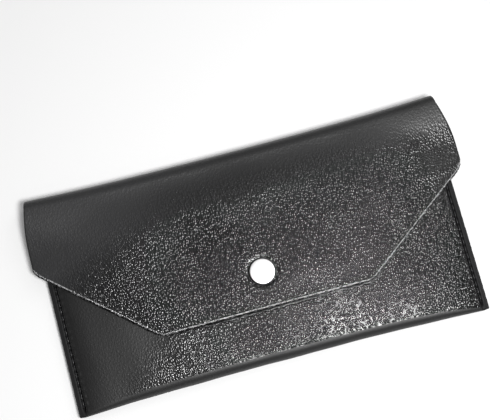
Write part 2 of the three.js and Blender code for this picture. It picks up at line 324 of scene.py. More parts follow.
def fleshSide(s):
    f = Finish("fleshSide")
    where = f.place()
    nap = f.noise(where, s["napScale"], 3.0, 0.7)
    cloud = f.noise(where, s["cloudScale"], 3.0, 0.6)
    tint = f.mix(cloud.step(*s["cloud"]), s["tint"], s["pale"])
    normal = f.bump(nap, s["napDepth"])
    return f.surface(Base_Color=tint, Roughness=s["rough"], Normal=normal, Specular_IOR_Level=s["specular"])


# Waxed thread, lighter where it is fluffy.
waxed = {
    "tint": (0.006, 0.006, 0.0065),
    "pale": (0.030, 0.030, 0.032),
    "fluffScale": 6.0,
    "fluffDepth": 0.05,  # mm
    "rough": 0.38,
}


def seamThread(s):
    f = Finish("seamThread")
    where = f.place()
    fluff = f.noise(where, s["fluffScale"], 2.0, 0.5)
    tint = f.mix(fluff, s["tint"], s["pale"])
    return f.surface(Base_Color=tint, Roughness=s["rough"], Normal=f.bump(fluff, s["fluffDepth"]))


# Nickel, a little hazy, with fine wear.
metal = {
    "polished": (0.96, 0.96, 0.965),
    "polishedRough": 0.34,
    "plain": (0.72, 0.72, 0.73),
    "plainRough": 0.30,
    "paintedEdgeShade": (0.03, 0.03, 0.03),  # painted shade on the cap's rounded edge, a painted reflection of the dark leather round it
    "hazeTint": 0.93,  # as a share of the clean tint
    "haze": (0.35, 0.7),  # noise at which haze starts, and at which it is whole
    "hazeScale": 0.5,
    "hazeRough": 0.08,
    "wearScale": 7.0,
    "wearDepth": 0.004,  # mm
}


def nickel(name, tint, rough, s):
    f = Finish(name)
    where = f.place()
    haze = f.noise(where, s["hazeScale"], 3.0, 0.6)
    wear = f.noise(where, s["wearScale"], 2.0, 0.6)
    colour = f.mix(haze.step(*s["haze"]), tint, tuple(c * s["hazeTint"] for c in tint))
    # Painted shade: the cap's rounded edge is tinted near black.
    colour = f.mix(f.attribute("paintedEdgeShade"), colour, s["paintedEdgeShade"])
    rough = (rough + haze * s["hazeRough"]).clamp()
    return f.surface(Base_Color=colour, Metallic=1.0, Roughness=rough, Normal=f.bump(wear, s["wearDepth"]))


finishes = {
    "face": grainedLeather(grain),
    "flesh": fleshSide(fleshNap),
    "edge": cutEdge(cutFibre),
    "marginAndPaintedShade": seamMargin(dyedMargin),
    "thread": seamThread(waxed),
    "cap": nickel("polishedNickel", metal["polished"], metal["polishedRough"], metal),
    "inner": nickel("plainNickel", metal["plain"], metal["plainRough"], metal),
}
print("finishes made")

# The folded sheet, in millimetres: y runs up from the bottom fold, and the part's origin is under the middle.
sheet = {
    "half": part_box("leather_pouch")[1].x / mm,  # half the length
    "height": (cadBox[1].y - cadBox[0].y) / mm,  # from the bottom fold to the top fold
    "thick": 1.2,
    "slit": 0.2,  # between the two layers where they are sewn
    "inset": 2.6,  # of the seam from the cut edge
    "pocket": 7.2,  # clear depth in the middle
    "bottom": 6.2,  # clear depth at the bottom fold
    "mouth": 5.4,  # clear depth at the mouth
    "closePower": 5,  # how squarely the depth closes towards the seams
    "mouthY": 92.0,
    "puff": 0.6,  # depth that opens just inside the seams
    "puffWidth": 2.0,
    "lift": 1.5,  # of the sewn edges off the table
    "flatHalf": 60.0,  # the back lies flat up to here from the middle
    "bottomPull": 1.75,  # how far the middle of a fold is pulled in
    "topPull": 1.7,
    "pullPower": 2.4,
    "roll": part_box("flap_fold")[1].z / mm,  # height of the roll
    "spread": 2.1,  # how much wider the roll gets on its way over
    "flareEnd": 76.0,  # where the flap has its whole width
    "climb": 24.0,  # length over which the flap comes down from the roll
    "sideDrop": 6.8,  # how much lower the flap lies at its sides
    "dropPower": 2.2,
    "snapStack": 3.0,  # room that the snap takes between the layers
    "snapY": 41.9,
    "pitch": 3.3,  # of the stitches
    "seamStart": 4.5,
}
seamX = sheet["half"] - sheet["inset"]
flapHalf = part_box("leather_flap")[1].x / mm


def smooth(t):  # from 0 to 1 with level ends
    t = np.clip(t, 0, 1)
    return t * t * (3 - 2 * t)


def bell(off, width):
    return np.exp(-((off / width) ** 2))


def liftAt(x):  # the sewn edges stand off the table: a square law from the flat middle
    share = np.clip((np.abs(x) - sheet["flatHalf"]) / (sheet["half"] - sheet["flatHalf"]), 0, 1)
    return sheet["lift"] * share**2


def pulledIn(x):  # 1 in the middle of a fold, 0 at its corners
    return 1 - np.minimum(1, np.abs(x) / sheet["half"]) ** sheet["pullPower"]


# Clear depth of the pocket: a parabola from the bottom fold (share 0) to the mouth (1), closed towards the seams.
def depthAt(x, share):
    inside = np.maximum(0, seamX - np.abs(x))
    along = 1 - np.minimum(1, np.abs(x) / seamX) ** sheet["closePower"]
    crown = 2 * sheet["pocket"] - (sheet["bottom"] + sheet["mouth"]) / 2
    across = sheet["bottom"] * (1 - share) ** 2 + 2 * crown * share * (1 - share) + sheet["mouth"] * share**2
    puff = sheet["puff"] * (1 - np.exp(-inside / sheet["puffWidth"]))
    return sheet["slit"] + (across - sheet["puff"]) * along + puff


def foldRadius(x):
    return sheet["thick"] + depthAt(x, 0) / 2


def foldCentre(x):
    return sheet["bottomPull"] * pulledIn(x) + foldRadius(x)


def rollRadius(x):
    return (sheet["roll"] - liftAt(x)) / 2


def rollCentre(x):
    return sheet["height"] - sheet["topPull"] * pulledIn(x) - rollRadius(x)


flapMiddle = 3 * sheet["thick"] + sheet["slit"] + sheet["pocket"] + sheet["snapStack"]
flapStart = float(rollCentre(sheet["half"]))


# Unit normals of a grid of points, from its two central differences.
def gridNormals(points):
    along = np.gradient(points, axis=0)
    across = np.gradient(points, axis=1)
    normal = np.cross(across, along)
    return normal / np.maximum(np.linalg.norm(normal, axis=2, keepdims=True), 1e-9)


# A mesh object from points in millimetres and groups of faces, each group with one number of corners.
def meshOf(name, points, groups, slots=None):
    mesh = bpy.data.meshes.new(name)
    placed = (points + np.array([0, -sheet["height"] / 2, 0])) * mm
    corners = np.concatenate([np.full(len(g), g.shape[1]) for g in groups])
    mesh.vertices.add(len(placed))
    mesh.vertices.foreach_set("co", placed.astype(np.float32).ravel())
    mesh.loops.add(int(corners.sum()))
    mesh.loops.foreach_set("vertex_index", np.concatenate([g.ravel() for g in groups]).astype(np.int32))
    mesh.polygons.add(len(corners))
    mesh.polygons.foreach_set("loop_start", (np.cumsum(corners) - corners).astype(np.int32))
    mesh.polygons.foreach_set("use_smooth", np.ones(len(corners), bool))
    if slots is not None:
        mesh.polygons.foreach_set("material_index", slots.astype(np.int32))
    mesh.update(calc_edges=True)
    mesh.validate()
    piece = bpy.data.objects.new(name, mesh)
    bpy.context.scene.collection.objects.link(piece)
    return piece


# Slow noise along a line: values drawn once, joined by smooth steps a spacing apart.
def lineNoise(length, spacing, draws):
    steps = length / spacing
    index = np.floor(steps).astype(int)
    share = smooth(steps - index)
    table = draws.uniform(-1, 1, index.max() + 2)
    return table[index] * (1 - share) + table[index + 1] * share


# A slab between an outer and an inner grid, closed round the rim by rings that bulge outwards and are a little uneven.
# plainRow is the row that the rest of the sheet goes on from, which isn't cut. lean is how many millimetres the cut
# leans out towards the flesh side, and dyed is true on the sewn margins.
rim = {
    "shares": (0.08, 0.32, 0.64, 0.92),  # place of each ring, from the face to the flesh side
    "bulge": (0.13, 0.18, 0.14, 0.06),  # mm
    "fray": 0.20,  # mm that a frayed edge goes in and out
    "back": 0.05,  # mm that its upper corner stands back
    "spacing": 0.7,  # mm
}
sheetSlots = {"face": 0, "flesh": 1, "edge": 2, "marginAndPaintedShade": 3}


def buildSlab(name, outer, inner, marks, lean, dyed, plainRow, seed):
    rows, columns = outer.shape[:2]
    index = np.arange(rows * columns).reshape(rows, columns)
    loop = np.concatenate([index[0, :-1], index[:-1, -1], index[-1, :0:-1], index[:0:-1, 0]])
    inside = np.concatenate([index[1, :-1], index[:-1, -2], index[-2, :0:-1], index[:0:-1, 1]])
    flatOuter = outer.reshape(-1, 3).copy()
    flatInner = inner.reshape(-1, 3).copy()
    ahead = np.roll(flatOuter[loop], -1, axis=0) - np.roll(flatOuter[loop], 1, axis=0)
    outward = np.cross(ahead, flatInner[loop] - flatOuter[loop])
    outward /= np.maximum(np.linalg.norm(outward, axis=1, keepdims=True), 1e-9)
    turnedIn = np.sum(outward * (flatOuter[loop] - flatOuter[inside]), axis=1) < 0
    outward *= np.where(turnedIn, -1.0, 1.0)[:, None]
    cut = 1.0 - np.isin(loop, index[plainRow])
    frayed = marks["frayed"].reshape(-1)[loop] * cut
    walked = np.cumsum(np.linalg.norm(flatOuter[loop] - flatOuter[np.roll(loop, 1)], axis=1))
    draws = np.random.default_rng(seed)
    ragged = [lineNoise(walked, rim["spacing"], draws) * rim["fray"] * frayed for _ in range(3)]
    flatOuter[loop] += outward * (ragged[0] - rim["back"] * frayed)[:, None]
    flatInner[loop] += outward * (ragged[2] + lean.reshape(-1)[loop] * cut)[:, None]
    down = flatInner[loop] - flatOuter[loop]
    parts = [flatOuter, flatInner]
    for share, bulge in zip(rim["shares"], rim["bulge"]):
        reach = (bulge + ragged[1] * math.sin(math.pi * share)) * cut
        parts.append(flatOuter[loop] + down * share + outward * reach[:, None])
    count = rows * columns
    ring = np.arange(len(loop))
    rings = len(rim["shares"])
    chains = [loop] + [2 * count + k * len(loop) + ring for k in range(rings)] + [loop + count]
    a, b = index[:-1, :-1].ravel(), index[:-1, 1:].ravel()
    c, d = index[1:, 1:].ravel(), index[1:, :-1].ravel()
    quads = [np.stack([a, d, c, b], 1), np.stack([a, b, c, d], 1) + count]
    top = np.where(dyed[:-1, :-1] & dyed[1:, 1:], sheetSlots["marginAndPaintedShade"], sheetSlots["face"]).ravel()
    slots = [top, np.full(len(a), sheetSlots["flesh"])]
    for upper, lower in zip(chains[:-1], chains[1:]):
        quads.append(np.stack([upper, np.roll(upper, -1), np.roll(lower, -1), lower], 1))
        slots.append(np.full(len(loop), sheetSlots["edge"]))
    piece = meshOf(name, np.concatenate(parts), [np.concatenate(quads)], np.concatenate(slots))
    for key, values in marks.items():
        flat = values.reshape(-1)
        full = np.concatenate([flat, 0 * flat] + [flat[loop] * (1 - share) ** 2 for share in rim["shares"]])
        piece.data.attributes.new(key, "FLOAT", "POINT").data.foreach_set("value", full.astype(np.float32))
    for key in sheetSlots:
        piece.data.materials.append(finishes[key])
    return piece


# Slow waves of a handled skin: three crossed sines of uneven length, the greatest 1 high.
def handled(x, y, turn):
    u = x * math.cos(turn) - y * math.sin(turn)
    v = x * math.sin(turn) + y * math.cos(turn)
    long = np.sin(u / 9.3 + 1.1 * np.sin(v / 17.0))
    across = np.sin(v / 6.7 + 0.9 * np.sin(u / 13.0) + 2.0)
    short = np.sin((u + 0.6 * v) / 3.9 + 0.7)
    return long + 0.8 * across + 0.5 * short


# Flap. The two sides differ a little, as a hand-cut flap's do.
flap = {
    "left": {"half": flapHalf - 0.8, "shoulder": 68.4, "tipHalf": 50.3, "round": 6.0},
    "right": {"half": flapHalf + 0.4, "shoulder": 66.6, "tipHalf": 47.1, "round": 7.5},
    "tip": 26.0,  # y of the straight lower edge
    "tipRound": 8.0,
    "across": 150,  # faces from side to side
    "crowding": 1.15,  # stations come closer towards the sides
    "rows": {"roll": 26, "flare": 30, "shoulder": 12, "slant": 150, "corner": 16},
    "slantShare": 0.62,  # distance square to a slanted side, as a share of that along x
    "waves": 0.14,  # mm
    "waveTurn": -0.3,
    "waveStart": 12.0,  # mm from the roll over which the waves come in
    "calmRadius": 7.0,  # no waves up to here from the snap's axis
    "calmWidth": 6.0,  # and whole ones this much further out
    "droop": 0.4,  # mm that the free edge hangs
    "droopWidth": 14.0,
    "heldWidth": 30.0,  # added to the way to the edge above the slanted sides, where nothing droops
    "dent": {"high": -0.30, "radius": 6.2, "width": 1.1},  # pressed in under the cap's edge
    "swell": {"high": 0.12, "radius": 8.2, "width": 1.2},  # and standing up round it
    "frayDepth": 0.8,  # mm of the face that is frayed at a cut
    "frayRows": 8,  # rows below the flare over which the fray comes in
    "lean": {"right": 0.5, "more": 0.4, "x": 45, "over": 60},  # mm that a frayed cut leans out, more to the left of x
    # Smooth skin: its limit at the left end slopes, and it goes further down below the roll to the right of x.
    "wornLeft": {"x": -44, "y": 60, "slope": 2.0, "over": 64, "most": 1.0},
    "wornRight": {"x": 72, "over": 20, "most": 0.60},
    "stretched": {"from": 3, "over": 16, "more": 12, "x": 45, "moreOver": 40},
    "plain": {"stretched": 0.85, "worn": 0.9},  # how plain each gets
    "shadeOnRoll": {"x": -70, "over": 80, "most": 0.6},  # painted shade, along the roll and at the right end, where the flap turns from the light
    "shadeOnRight": {"x": 62, "over": 22, "most": 0.9},
}

# Sewn pocket. Stations along x are even in the middle and fine over the seams.
pocket = {
    "middle": 60,
    "near": 34,
    "nearWidth": 7.0,
    "front": 230,
    "fold": 26,
    "back": 110,
    "waves": 0.16,  # mm
    "waveTurn": 0.4,
    "calmWidth": 12.0,  # mm over which the waves die out towards the sewn sides
    "backDrawn": 0.4,  # the seam's relief on the back, as a share of that on the front
    "frayed": 0.25,
    "lean": 0.11,  # mm
    "worn": {"x": -35, "y": 8, "slope": 0.9, "over": 45, "most": 1.0},  # smooth skin at the left end
    "band": {"at": 1.2, "middle": 3.2, "over": 3.0},  # smooth along the bottom fold, wider in the middle, and darkened there with painted shade
    "mark": 0.9,  # how plain the grain gets along the flap's outline, and how strong the painted shadow laid there is
    "plainWorn": 0.92,
    # shares of painted shade on the smooth left end and on the bottom fold
    "shadeOnWorn": 0.95,
    "shadeOnTurned": 0.8,
    "paintedFrontShade": 0.2,  # least share of painted shade on the front
    "dyedWidth": 0.75,  # mm inside the seam that the dye reaches
    "grooveWidth": 0.55,
    "grooveStart": 1.0,  # y at which the black groove starts
    "grooveEnds": 2.0,  # mm over which it comes in
}
# Band along the flap's outline: pressed grain, darkened by painted shadow.
press = {
    "before": 3.0,  # mm inside the flap's outline that the pressed mark starts
    "ramp": 2.0,
    "beyond": 0.3,  # and outside it that the mark starts to fade
    "fade": 1.8,
    "right": 0.7,  # share of the mark to the right of x, which grows to 1 over the next millimetres to the left
    "x": 30,
    "over": 60,
}
stitch = {
    "groove": 0.50,  # mm that the line is drawn down
    "width": 0.62,
    "hole": 0.30,  # further down at each hole
    "swell": 0.20,  # the leather stands up inside the line between holes
    "swellIn": 1.5,
    "swellWidth": 0.8,
    "thin": 0.45,  # pressed thinner out at the cut edge
    "thinFrom": 0.3,  # outside the seam
    "thinWidth": 2.3,
    "bottomY": 1.5,  # where the line starts above the bottom fold
    "mouthIn": 0.5,  # and where it ends below the mouth
    "ends": 2.0,  # mm over which it comes in
}


def seamRelief(x, y):
    off = np.abs(x) - seamX
    beat = 0.5 + 0.5 * np.cos(2 * np.pi * (y - sheet["seamStart"]) / sheet["pitch"])
    sewn = smooth((y - stitch["bottomY"]) / stitch["ends"])
    sewn = sewn * smooth((sheet["mouthY"] - stitch["mouthIn"] - y) / stitch["ends"])
    thin = -stitch["thin"] * smooth((off - stitch["thinFrom"]) / stitch["thinWidth"])
    line = -(stitch["groove"] + stitch["hole"] * beat**2) * bell(off, stitch["width"])
    swell = stitch["swell"] * (1 - beat) * bell(off + stitch["swellIn"], stitch["swellWidth"])
    return (line + swell) * sewn + thin


def rightFade(x, s):  # from 0 to its most, going right
    return s["most"] * smooth((x - s["x"]) / s["over"])


def slopedFade(x, y, s):  # from 0 to its most, going left, across a limit that slopes with y
    return s["most"] * smooth((s["x"] - x + s["slope"] * (y - s["y"])) / s["over"])


# The flap's edge has pressed the grain under it, and painted shadow darkens the same band: 1 along its outline, 0 a
# few millimetres off.
def pressedAndShadowed(x, y):
    left, right = flap["left"], flap["right"]
    side = {key: np.where(x < 0, left[key], right[key]) for key in ("half", "shoulder", "tipHalf")}
    run, rise = side["half"] - side["tipHalf"], side["shoulder"] - flap["tip"]
    off = ((np.abs(x) - side["tipHalf"]) * rise - (y - flap["tip"]) * run) / np.hypot(run, rise)
    off = np.maximum(off, flap["tip"] - y)
    mark = smooth((off + press["before"]) / press["ramp"]) * (1 - smooth((off - press["beyond"]) / press["fade"]))
    return mark * (press["right"] + (1 - press["right"]) * smooth((press["x"] - x) / press["over"]))


def makePocket(s):
    middleHalf = sheet["half"] - s["nearWidth"]
    middle = np.linspace(-middleHalf, middleHalf, s["middle"] + 1)
    near = np.linspace(middleHalf, sheet["half"], s["near"] + 1)[1:]
    x = np.concatenate([-near[::-1], middle, near])[None, :]
    centre = foldCentre(x)
    frontY = sheet["mouthY"] + (centre - sheet["mouthY"]) * np.linspace(0, 1, s["front"] + 1)[:, None]
    frontZ = liftAt(x) + 2 * sheet["thick"] + depthAt(x, (frontY - centre) / (sheet["mouthY"] - centre))
    angle = math.pi / 2 + math.pi * np.linspace(0, 1, s["fold"] + 1)[1:, None]
    radius = foldRadius(x)
    foldY = centre + radius * np.cos(angle)
    foldZ = liftAt(x) + radius + radius * np.sin(angle)
    backY = centre + (rollCentre(x) - centre) * np.linspace(0, 1, s["back"] + 1)[1:, None]
    y = np.concatenate([frontY, foldY, backY])
    z = np.concatenate([frontZ, foldZ, liftAt(x) + 0 * backY])
    outer = np.stack([x + 0 * y, y, z], 2)
    normal = gridNormals(outer)
    normal *= np.sign(np.sum(normal[0, :, 2]))
    inner = outer - normal * sheet["thick"]
    turning = 1 - smooth(np.linspace(0, 1, s["fold"]))
    front = np.concatenate([np.ones(len(frontY)), turning, np.zeros(len(backY))])[:, None]
    band = s["band"]["at"] + (s["band"]["middle"] + sheet["bottomPull"]) * pulledIn(x)
    band = smooth((band - frontY) / s["band"]["over"])
    turned = np.concatenate([band, np.ones(foldY.shape), np.zeros(backY.shape)])
    calm = smooth((sheet["half"] - np.abs(x)) / s["calmWidth"])
    waves = s["waves"] * handled(x, y, s["waveTurn"]) * front * calm
    relief = waves + seamRelief(x, y) * (s["backDrawn"] + (1 - s["backDrawn"]) * front)
    outer = outer + normal * relief[:, :, None]
    inner = inner + normal * waves[:, :, None]
    worn = slopedFade(x, y, s["worn"])
    dyed = np.broadcast_to(np.abs(x) > seamX - s["dyedWidth"], y.shape)
    # Painted shade: a black band along each stitch line, where the seam's groove lies.
    groove = np.exp(-(((np.abs(x) - seamX) / s["grooveWidth"]) ** 4))
    groove = groove * smooth((y - s["grooveStart"]) / s["grooveEnds"])
    # Pressed grain along the flap's outline; the same mark lays painted shadow there through the darker tint.
    mark = s["mark"] * pressedAndShadowed(x, y) * front
    plain = np.maximum(np.maximum(mark, turned), s["plainWorn"] * worn)
    # Painted shade: the front is darkened all over, more at its smooth left end, along the flap's outline and on the
    # bottom fold.
    paintedFrontShade = np.maximum(s["shadeOnWorn"] * worn, s["paintedFrontShade"]) * front
    marginAndPaintedShade = np.maximum(np.maximum(paintedFrontShade, mark), s["shadeOnTurned"] * turned)
    marks = {"marginAndPaintedShade": marginAndPaintedShade, "plain": plain, "groove": groove, "frayed": np.full(y.shape, s["frayed"])}
    return buildSlab("pocketLeather", outer, inner, marks, np.full(y.shape, s["lean"]), dyed, plainRow=-1, seed=11)


pocketLeather = makePocket(pocket)
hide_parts("leather_pouch")
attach(pocketLeather, "pouch")
print("pocket made", len(pocketLeather.data.polygons))

# Rolled fold and flap are one grid, whose rows run from the left edge to the right one.
# One side of the flap's outline from the roll to the tip, as [y, half width]: flare, shoulder, slant, tip corner.
def flapSide(s, side):
    slant = math.atan2(side["shoulder"] - s["tip"], side["half"] - side["tipHalf"])
    start = sheet["half"] + sheet["spread"]
    rows = s["rows"]
    share = np.linspace(0, 1, rows["flare"] + 1)[1:]
    flareY = flapStart + (sheet["flareEnd"] - flapStart) * share
    flareX = start + (side["half"] - start) * np.sin(np.pi / 2 * share)
    turnAll = math.pi / 2 - slant
    turn = turnAll * np.linspace(0, 1, rows["shoulder"] + 1)
    shoulderY = side["shoulder"] + side["round"] * (math.tan(turnAll / 2) - np.sin(turn))
    shoulderX = side["half"] - side["round"] * (1 - np.cos(turn))
    reach = s["tipRound"] * math.tan(slant / 2)
    along = np.linspace(0, 1, rows["slant"] + 1)[1:]
    slantY = shoulderY[-1] + (s["tip"] + reach * math.sin(slant) - shoulderY[-1]) * along
    slantX = shoulderX[-1] + (side["tipHalf"] + reach * math.cos(slant) - shoulderX[-1]) * along
    turn = slant * (1 - np.linspace(0, 1, rows["corner"] + 1)[1:])
    cornerY = s["tip"] + s["tipRound"] * (1 - np.cos(turn))
    cornerX = side["tipHalf"] - reach + s["tipRound"] * np.sin(turn)
    y = np.concatenate([flareY, shoulderY, slantY, cornerY])
    return y, np.concatenate([flareX, shoulderX, slantX, cornerX])


# Upper face: level with the roll at the fold, then over the pocket, lower at the sides and drooping at its free edge.
def flapTop(x, y, toEdge, s):
    across = np.minimum(1, np.abs(x) / flapHalf) ** sheet["dropPower"]
    level = flapMiddle - sheet["sideDrop"] * across
    raised = sheet["roll"] + (level - sheet["roll"]) * smooth((flapStart - y) / sheet["climb"])
    return raised - s["droop"] * smooth(1 - toEdge / s["droopWidth"])


def makeFlap(s):
    side = np.linspace(-1, 1, s["across"] + 1)
    side = np.sign(side) * (1 - (1 - np.abs(side)) ** s["crowding"])
    share = (side[None, :] + 1) / 2
    turned = np.linspace(0, 1, s["rows"]["roll"] + 1)[:, None]
    angle = math.pi * (turned - 0.5)
    rollX = (sheet["half"] + sheet["spread"] * turned) * side
    radius = rollRadius(rollX)
    rollY = rollCentre(rollX) + radius * np.cos(angle)
    rollZ = liftAt(rollX) + radius + radius * np.sin(angle)
    leftY, leftX = flapSide(s, s["left"])
    rightY, rightX = flapSide(s, s["right"])
    flapX = -leftX[:, None] * (1 - share) + rightX[:, None] * share
    rowY = leftY[:, None] * (1 - share) + rightY[:, None] * share
    stay = 1 - smooth((flapStart - rowY) / (flapStart - sheet["flareEnd"]))
    flapY = rowY + (rollCentre(flapX) - rollCentre(sheet["half"])) * stay
    halfHere = leftX[:, None] * (side < 0) + rightX[:, None] * (side >= 0)
    onSlant = smooth((sheet["flareEnd"] - rowY) / s["droopWidth"])
    toSide = s["slantShare"] * (halfHere - np.abs(flapX))
    toEdge = np.minimum(rowY - s["tip"], toSide + s["heldWidth"] * (1 - onSlant))
    flapZ = flapTop(flapX, rowY, toEdge, s)
    x = np.concatenate([rollX, flapX])
    y = np.concatenate([rollY, flapY])
    z = np.concatenate([rollZ, flapZ])
    outer = np.stack([x, y, z], 2)
    normal = gridNormals(outer)
    normal *= np.sign(np.sum(normal[-1, :, 2]))
    inner = outer - normal * sheet["thick"]
    ease = smooth((flapStart - y) / s["waveStart"]) * (np.arange(len(outer)) > s["rows"]["roll"])[:, None]
    fromSnap = np.hypot(x, y - sheet["snapY"])
    seated = sum(ring["high"] * bell(fromSnap - ring["radius"], ring["width"]) for ring in (s["dent"], s["swell"]))
    seated = seated * (z > sheet["roll"])
    waves = s["waves"] * handled(x, y, s["waveTurn"]) * ease * smooth((fromSnap - s["calmRadius"]) / s["calmWidth"])
    outer = outer + normal * (waves + seated)[:, :, None]
    inner = inner + normal * waves[:, :, None]
    first = s["rows"]["roll"] + s["rows"]["flare"]
    frayed = np.concatenate([np.zeros(rollX.shape), 1 - np.minimum(rowY - s["tip"], toSide) / s["frayDepth"]])
    frayed = smooth((np.arange(len(outer)) - first) / s["frayRows"])[:, None] * np.clip(frayed, 0, 1)
    lean = (s["lean"]["right"] + s["lean"]["more"] * smooth((s["lean"]["x"] - x) / s["lean"]["over"])) * frayed
    worn = slopedFade(x, y, s["wornLeft"]) + rightFade(x, s["wornRight"])
    fold = s["stretched"]
    fade = fold["over"] + fold["more"] * smooth((flapX - fold["x"]) / fold["moreOver"])
    stretched = 1 - smooth((flapStart - fold["from"] - rowY) / fade)
    stretched = np.concatenate([np.ones(rollX.shape), stretched])
    plain = np.maximum(s["plain"]["stretched"] * stretched, s["plain"]["worn"] * worn)
    # Painted shade: a darker tint along the roll and at the right end.
    marginAndPaintedShade = np.maximum(stretched * rightFade(x, s["shadeOnRoll"]), rightFade(x, s["shadeOnRight"]))
    marks = {"marginAndPaintedShade": marginAndPaintedShade, "plain": plain, "groove": 0 * x, "frayed": frayed}
    return buildSlab("flapLeather", outer, inner, marks, lean, np.zeros(x.shape, bool), plainRow=0, seed=12)


flapLeather = makeFlap(flap)
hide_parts("leather_flap", "flap_fold")
print("flap made", len(flapLeather.data.polygons))


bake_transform(flapLeather)


# What each piece of the sheet was cut to: its middle surface laid flat, in millimetres.
def flatSizes():
    wall = sheet["thick"] / 2
    fold = float(foldRadius(0))
    front = sheet["mouthY"] - float(foldCentre(0))
    back = float(rollCentre(0) - foldCentre(0))
    pocketLength = front + math.pi * (fold - wall) + back
    rollLength = math.pi * (sheet["roll"] / 2 - wall)
    area = 2 * sheet["half"] * rollLength
    for side in ("left", "right"):
        y, half = flapSide(flap, flap[side])
        area += float(np.sum((half[1:] + half[:-1]) / 2 * -np.diff(y)))
    width = flap["left"]["half"] + flap["right"]["half"]
    return (2 * sheet["half"], pocketLength), (width, rollLength + flapStart - flap["tip"]), area


pocketFlat, flapFlat, flapArea = flatSizes()
tuple(v * mm for v in pocketFlat)
tuple(v * mm for v in flapFlat)
flapArea * mm * mm
print("sheets declared, mm:", pocketFlat, flapFlat, flapArea)

# Lockstitch: one thread on each face. It lies in the groove between holes and dips into each to lock with the other.
thread = {
    "radius": 0.27,
    "ply": 0.16,  # how far the two plies stand out, as a share of the radius
    "twist": 2.2,  # mm in which the plies go once round
    "around": 10,
    "perStitch": 14,
    "dip": 0.75,
    "dipWidth": 0.34,
}


def makeThread(name, side, isNeedle, s):
    count = math.floor((sheet["mouthY"] - sheet["seamStart"] - sheet["pitch"] / 2) / sheet["pitch"])
    y = sheet["seamStart"] + np.linspace(0, count, count * s["perStitch"] + 1) * sheet["pitch"]
    facing = 1.0 if isNeedle else -1.0
    x = side * seamX
    face = liftAt(x) + (2 * sheet["thick"] + sheet["slit"] if isNeedle else 0.0)
    drawn = seamRelief(np.array(x), y) * (1.0 if isNeedle else pocket["backDrawn"])
    phase = (y - sheet["seamStart"]) / sheet["pitch"]
    nearHole = np.abs(phase - np.round(phase)) * sheet["pitch"]
    dip = s["dip"] * bell(nearHole, s["dipWidth"])
    z = face + facing * (drawn + s["radius"] - dip)
    centre = np.stack([x + 0 * y, y, z], 1)
    along = np.gradient(centre, axis=0)
    along /= np.linalg.norm(along, axis=1, keepdims=True)
    lift = np.cross(np.array([1.0, 0, 0]), along)
    angle = 2 * np.pi * np.arange(s["around"])[None, :] / s["around"]
    ply = np.cos(2 * angle - 2 * np.pi * y[:, None] / s["twist"] * 2)
    radius = s["radius"] * (1 + s["ply"] * ply)
    ring = np.array([1.0, 0, 0])[None, None, :] * (radius * np.cos(angle))[:, :, None]
    points = centre[:, None, :] + ring + lift[:, None, :] * (radius * np.sin(angle))[:, :, None]
    rows = len(y)
    at = np.arange(rows * s["around"]).reshape(rows, s["around"])
    after = np.roll(at, -1, axis=1)
    quads = np.stack([at[:-1], after[:-1], after[1:], at[1:]], 2).reshape(-1, 4)
    ends = np.array([at[0, ::-1], at[-1]])
    piece = meshOf(name, points.reshape(-1, 3), [quads, ends])
    piece.data.materials.append(finishes["thread"])
    return piece


for sideName, side in (("left", -1), ("right", 1)):
    for kind, isNeedle in (("needle", True), ("bobbin", False)):
        made = makeThread(sideName + kind.capitalize() + "Thread", side, isNeedle, thread)
        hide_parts(sideName + "_" + kind + "_thread")
        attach(made, "pouch")
print("threads made")

# Snap fastener: turned pieces on one axis, each from its profile of [radius, height] from the axis round to the axis.
snap = {
    "steps": 72,
    "capRadius": 6.25,
    "capHeight": 1.8,
    "shoulder": 0.75,  # radius of the cap's rounded edge
    "crown": 0.3,  # rise of the cap's face towards its middle
    "shankRadius": 1.5,
    "shadeWidth": 0.75,  # how far in the painted shade on the cap's edge starts
    "shadeFade": 0.15,  # and over what width it comes in
}


def arc(centreR, centreH, radiusR, radiusH, fromDegrees, toDegrees, steps):
    angle = np.radians(np.linspace(fromDegrees, toDegrees, steps + 1))
    return np.stack([centreR + radiusR * np.cos(angle), centreH + radiusH * np.sin(angle)], 1)


# Turns a profile about the snap's axis: rings between two poles, given from the lower pole to the upper one.
def turnedPiece(name, profile, finish, s):
    profile = np.asarray(profile, float)
    rings = profile[1:-1]
    angle = 2 * np.pi * np.arange(s["steps"]) / s["steps"]
    x = rings[:, :1] * np.cos(angle)
    y = rings[:, :1] * np.sin(angle) + sheet["snapY"]
    z = rings[:, 1:] + 0 * x
    points = np.stack([x, y, z], 2).reshape(-1, 3)
    poles = np.array([[0, sheet["snapY"], profile[0, 1]], [0, sheet["snapY"], profile[-1, 1]]])
    at = np.arange(len(points)).reshape(len(rings), s["steps"])
    after = np.roll(at, -1, axis=1)
    quads = np.stack([at[:-1], after[:-1], after[1:], at[1:]], 2).reshape(-1, 4)
    low, high = len(points), len(points) + 1
    lower = np.stack([np.full(s["steps"], low), after[0], at[0]], 1)
    upper = np.stack([np.full(s["steps"], high), at[-1], after[-1]], 1)
    piece = meshOf(name, np.concatenate([points, poles]), [quads, lower, upper])
    # Painted shade on the cap's rounded edge, kept as a mark on the nickel.
    paintedEdgeShade = np.clip((rings[:, 0] - s["capRadius"] + s["shadeWidth"]) / s["shadeFade"], 0, 1)
    paintedEdgeShade = np.concatenate([np.repeat(paintedEdgeShade, s["steps"]), [0, 0]])
    piece.data.attributes.new("paintedEdgeShade", "FLOAT", "POINT").data.foreach_set("value", paintedEdgeShade.astype(np.float32))
    piece.data.materials.append(finishes[finish])
    return piece


